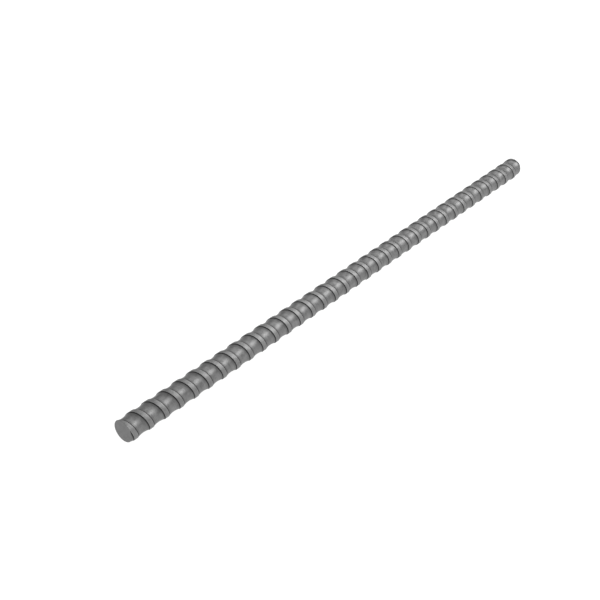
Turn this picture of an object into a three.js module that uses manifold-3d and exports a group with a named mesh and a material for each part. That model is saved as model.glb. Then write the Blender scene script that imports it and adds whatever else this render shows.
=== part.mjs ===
// Ball screw shaft: one straight steel bar with a single right-hand ball thread from end to end.
// Millimetres. The shaft's axis is +X, the start face's centre is the origin, and +Z is up.
import * as THREE from "three";
import { mergeVertices } from "three/addons/utils/BufferGeometryUtils.js";
import Module from "manifold-3d";

// Driving dimensions
const OUTER_DIAMETER = 25; // over the lands
const LEAD = 20; // axial travel of the thread in one turn
const LENGTH = 700; // from the start face to the end face
const LAND_WIDTH = 5; // the strip between grooves that keeps the full diameter
const EDGE_WIDTH = 0.8; // the bevel along each side of the land, measured along the axis
const EDGE_DEPTH = 0.45; // and measured down from the land
const GROOVE_DEPTH = 1.35; // from the land down to the middle of the groove
const THREAD_START = 5; // degrees past +Z, towards -Y, where the land's middle meets the start face

// How finely the thread is faceted
const SECTORS = 20; // flats in one turn
const GROOVE_CHORDS = 3; // chords across the groove's arc

// Derived sizes
const RADIUS = OUTER_DIAMETER / 2;
const ARC_WIDTH = LEAD - LAND_WIDTH - 2 * EDGE_WIDTH;
const ARC_DEPTH = GROOVE_DEPTH - EDGE_DEPTH;
const ARC_RADIUS = (ARC_WIDTH ** 2 / 4 + ARC_DEPTH ** 2) / (2 * ARC_DEPTH);
const SPARE_TURNS = 2; // thread past each end face, cut off again when the faces are made
const TURNS = Math.ceil(LENGTH / LEAD) + 2 * SPARE_TURNS;

const wasm = await Module();
wasm.setup();

// The thread's section along the axis over one lead, as points of [axial place from the land's
// middle, radius]: from the land's far edge, down its bevel, across the groove's arc and up the
// next bevel to the next land.
function threadSection() {
  const points = [[LAND_WIDTH / 2, RADIUS]];
  for (let i = 0; i <= GROOVE_CHORDS; i++) {
    const across = ARC_WIDTH * (i / GROOVE_CHORDS - 0.5);
    const depth = GROOVE_DEPTH - ARC_RADIUS + Math.sqrt(ARC_RADIUS ** 2 - across ** 2);
    points.push([LEAD / 2 + across, RADIUS - depth]);
  }
  points.push([LEAD - LAND_WIDTH / 2, RADIUS]);
  return points;
}

// A threaded bar longer than the shaft. Each row of vertices climbs one turn of the helix, so the
// line after its last column is the first column of the row one whole section further on.
function threadedBar() {
  const section = threadSection();
  const rows = TURNS * section.length;
  const position = [];
  for (let row = 0; row < rows; row++) {
    const [place, radius] = section[row % section.length];
    const turn = Math.floor(row / section.length) - SPARE_TURNS;
    for (let column = 0; column < SECTORS; column++) {
      const angle = ((column + 0.5) / SECTORS) * 360; // half a step round, so that a flat faces down
      const x = place + (turn + (angle - THREAD_START) / 360) * LEAD;
      const around = THREE.MathUtils.degToRad(angle);
      position.push(x, -radius * Math.sin(around), radius * Math.cos(around));
    }
  }
  const vertex = (row, column) =>
    column < SECTORS ? row * SECTORS + column : (row + section.length) * SECTORS;
  const index = [];
  for (let row = 0; row + section.length + 1 < rows; row++) {
    for (let column = 0; column < SECTORS; column++) {
      const [a, b] = [vertex(row, column), vertex(row + 1, column)];
      const [c, d] = [vertex(row + 1, column + 1), vertex(row, column + 1)];
      index.push(a, c, b, a, d, c);
    }
  }
  closeEnds(position, index);
  return solid(position, index);
}

// Closes both open rims of the bar, each with a fan of triangles to a point on the axis.
function closeEnds(position, index) {
  const open = new Map();
  for (let i = 0; i < index.length; i += 3) {
    for (let k = 0; k < 3; k++) {
      const [from, to] = [index[i + k], index[i + ((k + 1) % 3)]];
      if (!open.delete(to + " " + from)) open.set(from + " " + to, [from, to]);
    }
  }
  const firstPoint = position.length / 3;
  for (const x of [-SPARE_TURNS * LEAD, LENGTH + SPARE_TURNS * LEAD]) position.push(x, 0, 0);
  for (const [from, to] of open.values()) {
    const point = position[3 * from] < LENGTH / 2 ? firstPoint : firstPoint + 1;
    index.push(to, from, point);
  }
}

// A manifold-3d solid from lists of vertex coordinates and triangle corners.
function solid(position, index) {
  return new wasm.Manifold(
    new wasm.Mesh({
      numProp: 3,
      vertProperties: new Float32Array(position),
      triVerts: new Uint32Array(index),
    }),
  );
}

// The same from a closed three.js geometry.
function solidOf(geometry) {
  const bare = geometry.clone();
  bare.deleteAttribute("normal");
  bare.deleteAttribute("uv");
  const merged = mergeVertices(bare);
  return solid(merged.attributes.position.array, merged.index.array);
}

// A BufferGeometry with flat facets from a manifold-3d solid.
function geometryOf(made) {
  const mesh = made.getMesh();
  const geometry = new THREE.BufferGeometry();
  geometry.setAttribute("position", new THREE.BufferAttribute(mesh.vertProperties, 3));
  geometry.setIndex(new THREE.BufferAttribute(mesh.triVerts, 1));
  const flat = geometry.toNonIndexed();
  flat.computeVertexNormals();
  return flat;
}

// The shaft: the threaded bar between two flat faces square to the axis, where the thread runs out.
function screwShaft() {
  const stretch = new THREE.BoxGeometry(LENGTH, 2 * OUTER_DIAMETER, 2 * OUTER_DIAMETER);
  stretch.translate(LENGTH / 2, 0, 0);
  const steel = new THREE.MeshStandardMaterial({ color: 0x8c8c8c, roughness: 0.35, metalness: 1 });
  const shaft = new THREE.Mesh(geometryOf(threadedBar().intersect(solidOf(stretch))), steel);
  shaft.name = "screw_shaft";
  return shaft;
}

const ballScrew = new THREE.Group();
ballScrew.add(screwShaft());

export default ballScrew;
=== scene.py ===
"""Ball screw shaft: the fine thread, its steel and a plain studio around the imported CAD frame.

The shaft lies along +X. Everything is in metres, in the CAD frame.
"""

import math

import bmesh
import bpy
import numpy as np
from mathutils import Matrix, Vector


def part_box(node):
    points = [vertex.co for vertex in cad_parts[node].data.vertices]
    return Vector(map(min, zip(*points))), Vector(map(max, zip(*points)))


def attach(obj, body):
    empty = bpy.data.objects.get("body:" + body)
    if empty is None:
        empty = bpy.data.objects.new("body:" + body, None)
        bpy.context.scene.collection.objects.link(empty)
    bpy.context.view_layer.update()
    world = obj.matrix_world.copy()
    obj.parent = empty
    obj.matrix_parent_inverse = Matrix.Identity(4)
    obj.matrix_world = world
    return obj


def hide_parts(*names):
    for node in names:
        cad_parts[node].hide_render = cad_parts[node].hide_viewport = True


MM = 0.001

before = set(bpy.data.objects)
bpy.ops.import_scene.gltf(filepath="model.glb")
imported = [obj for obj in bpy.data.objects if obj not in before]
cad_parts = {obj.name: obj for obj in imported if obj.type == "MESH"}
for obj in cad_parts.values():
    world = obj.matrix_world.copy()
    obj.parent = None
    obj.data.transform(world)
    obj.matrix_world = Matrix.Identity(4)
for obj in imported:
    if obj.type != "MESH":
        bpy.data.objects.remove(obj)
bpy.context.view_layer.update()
shaft_low, shaft_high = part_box("screw_shaft")

# Thread, as in the CAD model
LENGTH = shaft_high.x - shaft_low.x
RADIUS = 12.5 * MM
LEAD = 20 * MM
LAND_WIDTH = 5 * MM
EDGE_WIDTH = 0.8 * MM
EDGE_DEPTH = 0.45 * MM
GROOVE_DEPTH = 1.35 * MM
THREAD_START = math.radians(5)  # past +Z, towards -Y, where the land's middle meets the start face

# Edges too fine for the CAD model
CREST_ROUND = 0.5 * MM  # between the land and its bevel
FOOT_ROUND = 0.5 * MM  # between the bevel and the groove
FACE_BREAK = 0.2 * MM  # the small chamfer left round each end face

# How finely the thread is meshed
SECTORS = 80
ROUND_STEPS = 3
GROOVE_STEPS = 14
SPARE_TURNS = 2  # thread past each end face, cut off again
FACING_END = 0.6  # a face whose normal has more than this along the axis belongs to an end
SHARP_EDGE = math.radians(25)  # an edge that turns by more than this is shaded sharp

# Camera: where it stands round the shaft, and the spot that it aims at
CAMERA_AZIMUTH = -50
CAMERA_ELEVATION = 34.1
CAMERA_DISTANCE = 1.174  # metres
CAMERA_AIM = Vector((0.39 * LENGTH, 14.5 * MM, 0))
CAMERA_LENS = 64.2  # millimetres, on a 36 mm sensor

# Light: the lamps' length, their place along the shaft and how far off it they are, in metres
LAMP_LENGTH = 1.5
LAMP_PLACE = 1.45
LAMP_DISTANCE = 1.3
WORLD_STRENGTH = 0.55
FLOOR_SIZE = 80  # a view from 17 degrees up or higher doesn't see past it
FLOOR_GAP = 0.1 * MM

# Where each stretch of the thread ends, measured along the axis from the land's middle
LAND_END = LAND_WIDTH / 2
EDGE_END = LAND_END + EDGE_WIDTH


# ---------------------------------------------------------------- the shaft's mesh


def rounded(corners, radii):
    """A polyline with each inner corner replaced by an arc of the given radius."""
    points = [corners[0]]
    for before, corner, after, radius in zip(corners, corners[1:], corners[2:], radii):
        back = (before - corner) / np.linalg.norm(before - corner)
        on = (after - corner) / np.linalg.norm(after - corner)
        half = math.acos(np.clip(back @ on, -1, 1)) / 2
        reach = radius / math.tan(half)
        centre = corner + (back + on) / np.linalg.norm(back + on) * radius / math.sin(half)
        start, end = corner + back * reach - centre, corner + on * reach - centre
        turn = math.atan2(start[0] * end[1] - start[1] * end[0], start @ end)
        for k in range(ROUND_STEPS + 1):
            cos, sin = math.cos(turn * k / ROUND_STEPS), math.sin(turn * k / ROUND_STEPS)
            points.append(centre + [cos * start[0] - sin * start[1], sin * start[0] + cos * start[1]])
    return points + [corners[-1]]


def thread_section():
    """The thread over one lead, from one land's middle to the next, as (axial place, radius)."""
    half_arc = LEAD / 2 - EDGE_END
    arc_depth = GROOVE_DEPTH - EDGE_DEPTH
    arc_radius = (half_arc**2 + arc_depth**2) / (2 * arc_depth)
    arc = []
    for k in range(GROOVE_STEPS + 1):
        across = half_arc * (2 * k / GROOVE_STEPS - 1)
        depth = GROOVE_DEPTH - arc_radius + math.sqrt(arc_radius**2 - across**2)
        arc.append(np.array([LEAD / 2 + across, RADIUS - depth]))
    land = [np.array([0, RADIUS]), np.array([LAND_END, RADIUS])]
    down = rounded(land + arc[:2], [CREST_ROUND, FOOT_ROUND])
    up = [np.array([LEAD - x, radius]) for x, radius in reversed(down)]
    return down[:-1] + arc[1:-1] + up[1:-1]


def threaded_sheet():
    """The thread's surface as a bmesh, open at both ends and longer than the shaft."""
    section = thread_section()
    turns = math.ceil(LENGTH / LEAD) + 2 * SPARE_TURNS
    mesh = bmesh.new()
    grid = []
    for row in range(turns * len(section)):
        place, radius = section[row % len(section)]
        turn = row // len(section) - SPARE_TURNS
        line = []
        for column in range(SECTORS):
            angle = 2 * math.pi * column / SECTORS
            x = place + (turn + (angle - THREAD_START) / (2 * math.pi)) * LEAD
            line.append(mesh.verts.new((x, -radius * math.sin(angle), radius * math.cos(angle))))
        grid.append(line)
    for low, high in zip(range(len(grid)), range(1, len(grid) - len(section))):
        # After its last column a row goes on as the row one whole turn further along
        near = grid[low] + grid[low + len(section)][:1]
        far = grid[high] + grid[high + len(section)][:1]
        for column in range(SECTORS):
            mesh.faces.new((near[column], near[column + 1], far[column + 1], far[column]))
    return mesh


def cut_square(mesh, x, outward):
    """Cuts the open sheet off at one end and closes it with a narrow chamfer and a flat face."""
    everything = mesh.verts[:] + mesh.edges[:] + mesh.faces[:]
    place = (x - outward * FACE_BREAK, 0, 0)
    cut = bmesh.ops.bisect_plane(
        mesh, geom=everything, plane_co=place, plane_no=(outward, 0, 0), clear_outer=True, dist=1e-7
    )
    rim = [part for part in cut["geom_cut"] if isinstance(part, bmesh.types.BMEdge)]
    chamfer = bmesh.ops.extrude_edge_only(mesh, edges=rim)["geom"]
    for vert in (part for part in chamfer if isinstance(part, bmesh.types.BMVert)):
        radius = math.hypot(vert.co.y, vert.co.z)
        vert.co.yz *= 1 - FACE_BREAK / radius
        vert.co.x = x
    inner_rim = [part for part in chamfer if isinstance(part, bmesh.types.BMEdge)]
    bmesh.ops.contextual_create(mesh, geom=inner_rim)


def finish_of(face):
    """Which of the shaft's finishes a face has: 0 groove, 1 land, 2 bevel, 3 end face or its chamfer."""
    if abs(face.normal.x) > FACING_END:
        return 3
    x, y, z = face.calc_center_median()
    turns = x / LEAD - (math.atan2(-y, z) - THREAD_START) / (2 * math.pi)
    from_land = abs(turns - round(turns)) * LEAD
    if from_land < LAND_END:
        return 1
    return 2 if from_land < EDGE_END else 0


def screw_shaft(finishes):
    """The visible shaft."""
    mesh = threaded_sheet()
    cut_square(mesh, shaft_low.x, -1)
    cut_square(mesh, shaft_high.x, 1)
    bmesh.ops.recalc_face_normals(mesh, faces=mesh.faces)
    for edge in mesh.edges:
        edge.smooth = edge.calc_face_angle(0) < SHARP_EDGE
    for face in mesh.faces:
        face.material_index = finish_of(face)
        face.smooth = face.material_index < 3
    data = bpy.data.meshes.new("screw_shaft_fine")
    mesh.to_mesh(data)
    mesh.free()
    for material in finishes:
        data.materials.append(material)
    shaft = bpy.data.objects.new("screw_shaft_fine", data)
    bpy.context.scene.collection.objects.link(shaft)
    return shaft


# ---------------------------------------------------------------- steel


class Steel:
    """A metal material, with short ways to add nodes to it."""

    def __init__(self, name):
        self.material = bpy.data.materials.new(name)
        self.material.use_nodes = True
        self.tree = self.material.node_tree
        self.shader = self.tree.nodes["Principled BSDF"]
        self.shader.inputs["Metallic"].default_value = 1
        self.place = self.add("ShaderNodeTexCoord").outputs["Object"]
        self.x, self.y, self.z = self.add("ShaderNodeSeparateXYZ", {"Vector": self.place}).outputs

    def add(self, kind, inputs=None, **settings):
        """A new node, with each input set to a value or wired to an output."""
        node = self.tree.nodes.new(kind)
        for name, value in settings.items():
            setattr(node, name, value)
        for name, value in (inputs or {}).items():
            if isinstance(value, bpy.types.NodeSocket):
                self.tree.links.new(value, node.inputs[name])
            else:
                node.inputs[name].default_value = value
        return node

    def math(self, operation, *values):
        return self.add("ShaderNodeMath", dict(enumerate(values)), operation=operation).outputs[0]

    def along_thread(self, middle):
        """Distances along and across the helix, 0 across being the land's or the groove's middle."""
        around = self.math("ARCTAN2", self.math("MULTIPLY", self.y, -1), self.z)
        shift = THREAD_START / (2 * math.pi) + (0.5 if middle == "land" else 0)
        leads = self.math("DIVIDE", self.x, LEAD)
        turns = self.math("SUBTRACT", leads, self.math("DIVIDE", around, 2 * math.pi))
        turns = self.math("ADD", turns, shift)
        whole = self.math("MULTIPLY", self.math("FLOOR", turns), 2 * math.pi)
        along = self.math("MULTIPLY", self.math("ADD", around, whole), RADIUS)
        across = self.math("MULTIPLY", self.math("SUBTRACT", self.math("FRACT", turns), 0.5), LEAD)
        return along, across

    def grain(self, along, across, length, width, detail=3):
        """Streaks of about that length and width, 0 to 1 with 0.5 as their mean."""
        vector = self.add(
            "ShaderNodeCombineXYZ",
            {"X": self.math("DIVIDE", along, length), "Y": self.math("DIVIDE", across, width)},
        ).outputs[0]
        inputs = {"Vector": vector, "Scale": 1, "Detail": detail, "Roughness": 0.6}
        return self.add("ShaderNodeTexNoise", inputs).outputs[0]

    def clouds(self, size, detail=3, roughness=0.55):
        """Patches of about that size, 0 to 1 with 0.5 as their mean."""
        inputs = {"Vector": self.place, "Scale": 1 / size, "Detail": detail, "Roughness": roughness}
        return self.add("ShaderNodeTexNoise", inputs).outputs[0]

    def ramp(self, value, start, end, low=0.0, high=1.0):
        """low where value is under start, high where it is over end, and a smooth change between."""
        names = ("Value", "From Min", "From Max", "To Min", "To Max")
        inputs = dict(zip(names, (value, start, end, low, high)))
        return self.add("ShaderNodeMapRange", inputs, interpolation_type="SMOOTHSTEP").outputs[0]

    def swing(self, value, amount):
        """A factor that goes amount under and over 1 as value goes from 0.25 to 0.75."""
        names = ("Value", "From Min", "From Max", "To Min", "To Max")
        inputs = dict(zip(names, (value, 0.25, 0.75, 1 - amount, 1 + amount)))
        return self.add("ShaderNodeMapRange", inputs).outputs[0]

    def product(self, *values):
        total = values[0]
        for value in values[1:]:
            total = self.math("MULTIPLY", total, value)
        return total

    def grey(self, brightness):
        """Uses brightness, an output, as a neutral grey base colour."""
        colour = self.add("ShaderNodeCombineColor", dict.fromkeys(("Red", "Green", "Blue"), brightness))
        self.tree.links.new(colour.outputs[0], self.shader.inputs["Base Color"])

    def rough(self, roughness):
        self.tree.links.new(roughness, self.shader.inputs["Roughness"])

    def relief(self, *layers):
        """Bumps, each (height 0 to 1, its real depth in metres)."""
        normal = None
        for height, depth in layers:
            inputs = {"Height": height, "Distance": depth, "Strength": 1}
            if normal:
                inputs["Normal"] = normal
            normal = self.add("ShaderNodeBump", inputs).outputs[0]
        self.tree.links.new(normal, self.shader.inputs["Normal"])


def groove_steel():
    """The ball track: rolled, with grain along the helix, faint clouding, and painted shade towards its
    feet: a dark ragged band at each foot and a darkening over the last 4 mm before it.
    """
    steel = Steel("groove_steel")
    along, across = steel.along_thread("groove")
    from_middle = steel.math("ABSOLUTE", across)
    fine = steel.grain(along, across, 6 * MM, 0.12 * MM)
    broad = steel.grain(along, across, 25 * MM, 0.9 * MM)
    patches = steel.clouds(5 * MM, detail=4)
    pits = steel.ramp(steel.clouds(0.7 * MM, detail=2), 0.66, 0.74, 1.0, 0.6)
    foot = LEAD / 2 - EDGE_END
    # Painted shade: a dark band with a ragged edge along each foot of the groove, where it meets the
    # bevel.
    foot_shade_edge = steel.math("ADD", from_middle, steel.math("MULTIPLY", patches, 0.8 * MM))
    foot_shade = steel.ramp(foot_shade_edge, foot - 0.6 * MM, foot + 0.3 * MM, 1.0, 0.4)
    # Painted shade: darker over the last 4 mm towards each foot of the groove, and slightly lighter
    # towards its middle.
    foot_falloff_shade = steel.ramp(from_middle, foot - 4 * MM, foot, 1.04, 0.82)
    swings = (steel.swing(fine, 0.12), steel.swing(broad, 0.14), steel.swing(patches, 0.26))
    steel.grey(steel.product(0.2, *swings, pits, foot_shade, foot_falloff_shade))
    steel.rough(steel.product(0.48, steel.swing(fine, 0.1), steel.swing(patches, 0.12)))
    steel.relief((fine, 0.012 * MM), (broad, 0.03 * MM), (pits, 0.02 * MM))
    return steel.material


def land_steel():
    """The strip at full diameter: polished along the shaft, which spreads its gloss round it."""
    steel = Steel("land_steel")
    steel.shader.inputs["Anisotropic"].default_value = 0.5
    round_axis = steel.add("ShaderNodeTangent", direction_type="RADIAL", axis="X").outputs[0]
    steel.tree.links.new(round_axis, steel.shader.inputs["Tangent"])
    along, across = steel.along_thread("land")
    from_middle = steel.math("ABSOLUTE", across)
    lines = steel.grain(across, along, 9 * MM, 0.1 * MM)
    bands = steel.grain(across, along, 15 * MM, 0.6 * MM)
    nicks = steel.ramp(steel.grain(along, across, 1.8 * MM, 0.16 * MM, detail=1), 0.70, 0.76, 1.0, 0.72)
    patches = steel.clouds(5 * MM, detail=4)
    edge = steel.ramp(from_middle, LAND_END - 0.55 * MM, LAND_END, 1.0, 1.3)
    swings = (steel.swing(lines, 0.16), steel.swing(bands, 0.16), steel.swing(patches, 0.2))
    steel.grey(steel.product(0.225, *swings, nicks, edge))
    steel.rough(steel.product(0.5, steel.swing(lines, 0.1), steel.swing(patches, 0.12)))
    steel.relief((lines, 0.01 * MM), (bands, 0.02 * MM), (nicks, 0.015 * MM))
    return steel.material


def bevel_steel():
    """The bevels beside the land: painted near-black as shade, so each reads as the dark line along its
    land's edge.
    """
    steel = Steel("bevel_steel")
    along, across = steel.along_thread("land")
    patches = steel.clouds(2.5 * MM)
    from_middle = steel.math("ABSOLUTE", across)
    crest = steel.ramp(from_middle, LAND_END, LAND_END + 0.25 * MM, 2.2, 1.0)
    scale = steel.grain(along, across, 4 * MM, 0.2 * MM)
    # Painted shade: a near-black base colour for the dark line along each land's edge, lighter just at
    # the crest.
    steel.grey(steel.product(0.035, steel.swing(patches, 0.4), steel.swing(scale, 0.2), crest))
    steel.rough(steel.product(0.6, steel.swing(patches, 0.15)))
    steel.relief((scale, 0.02 * MM), (patches, 0.03 * MM))
    return steel.material


def cut_steel():
    """The end faces: parted off, with turned rings round the axis."""
    steel = Steel("cut_steel")
    squares = steel.math("ADD", steel.math("POWER", steel.y, 2), steel.math("POWER", steel.z, 2))
    out = steel.math("SQRT", squares)
    around = steel.math("ARCTAN2", steel.y, steel.z)
    rings = steel.grain(around, out, 2.5, 0.16 * MM)
    coarse = steel.grain(around, out, 4, 0.8 * MM)
    patches = steel.clouds(5 * MM)
    rim = steel.ramp(out, RADIUS - 1.2 * MM, RADIUS, 1.0, 1.15)
    swings = (steel.swing(rings, 0.14), steel.swing(coarse, 0.08), steel.swing(patches, 0.1))
    steel.grey(steel.product(0.19, *swings, rim))
    steel.rough(steel.product(0.5, steel.swing(rings, 0.12)))
    steel.relief((rings, 0.015 * MM), (coarse, 0.03 * MM))
    return steel.material


# ---------------------------------------------------------------- studio


def direction(azimuth, elevation):
    """Unit vector towards a viewer at those degrees, azimuth 0 being on the -Y side."""
    a, e = math.radians(azimuth), math.radians(elevation)
    return Vector((math.sin(a) * math.cos(e), -math.cos(a) * math.cos(e), math.sin(e)))


def camera():
    data = bpy.data.cameras.new("camera")
    data.lens = CAMERA_LENS
    data.clip_start, data.clip_end = 0.05, 50
    back = direction(CAMERA_AZIMUTH, CAMERA_ELEVATION)
    viewer = bpy.data.objects.new("camera", data)
    viewer.location = CAMERA_AIM + back * CAMERA_DISTANCE
    viewer.rotation_euler = back.to_track_quat("Z", "Y").to_euler()
    bpy.context.scene.collection.objects.link(viewer)
    bpy.context.scene.camera = viewer


def long_lamp(name, around, width, power):
    """A soft box parallel to the shaft. around is its place past +Z, towards -Y, in degrees."""
    data = bpy.data.lights.new(name, "AREA")
    data.shape = "RECTANGLE"
    data.size, data.size_y = LAMP_LENGTH, width
    data.energy = power
    lamp = bpy.data.objects.new(name, data)
    towards = Vector((0, -math.sin(math.radians(around)), math.cos(math.radians(around))))
    lamp.location = Vector((LAMP_PLACE, 0, 0)) + towards * LAMP_DISTANCE
    lamp.rotation_euler = (math.radians(around), 0, 0)
    bpy.context.scene.collection.objects.link(lamp)


def white_floor():
    """A white light table just under the shaft, which leaves next to no shadow."""
    bpy.ops.mesh.primitive_plane_add(size=FLOOR_SIZE, location=(LENGTH / 2, 0, -RADIUS - FLOOR_GAP))
    floor = bpy.context.object
    floor.name = "floor"
    table = bpy.data.materials.new("light_table")
    table.use_nodes = True
    shader = table.node_tree.nodes["Principled BSDF"]
    shader.inputs["Base Color"].default_value = (0.1, 0.1, 0.1, 1)
    shader.inputs["Roughness"].default_value = 0.9
    shader.inputs["Emission Color"].default_value = (1, 1, 1, 1)
    shader.inputs["Emission Strength"].default_value = 1.0
    floor.data.materials.append(table)


def studio():
    """Even white light, a long soft key lamp on the camera's side and a weaker one on the far side."""
    world = bpy.data.worlds.new("studio")
    bpy.context.scene.world = world
    world.use_nodes = True
    background = world.node_tree.nodes["Background"]
    background.inputs["Color"].default_value = (1, 1, 1, 1)
    background.inputs["Strength"].default_value = WORLD_STRENGTH
    bpy.context.scene.view_settings.view_transform = "Standard"
    white_floor()
    long_lamp("key", around=37, width=0.75, power=18)
    long_lamp("back", around=-20, width=0.6, power=5)


camera()
studio()
shaft = screw_shaft([groove_steel(), land_steel(), bevel_steel(), cut_steel()])
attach(shaft, "root")
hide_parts("screw_shaft")

bpy.context.view_layer.update()
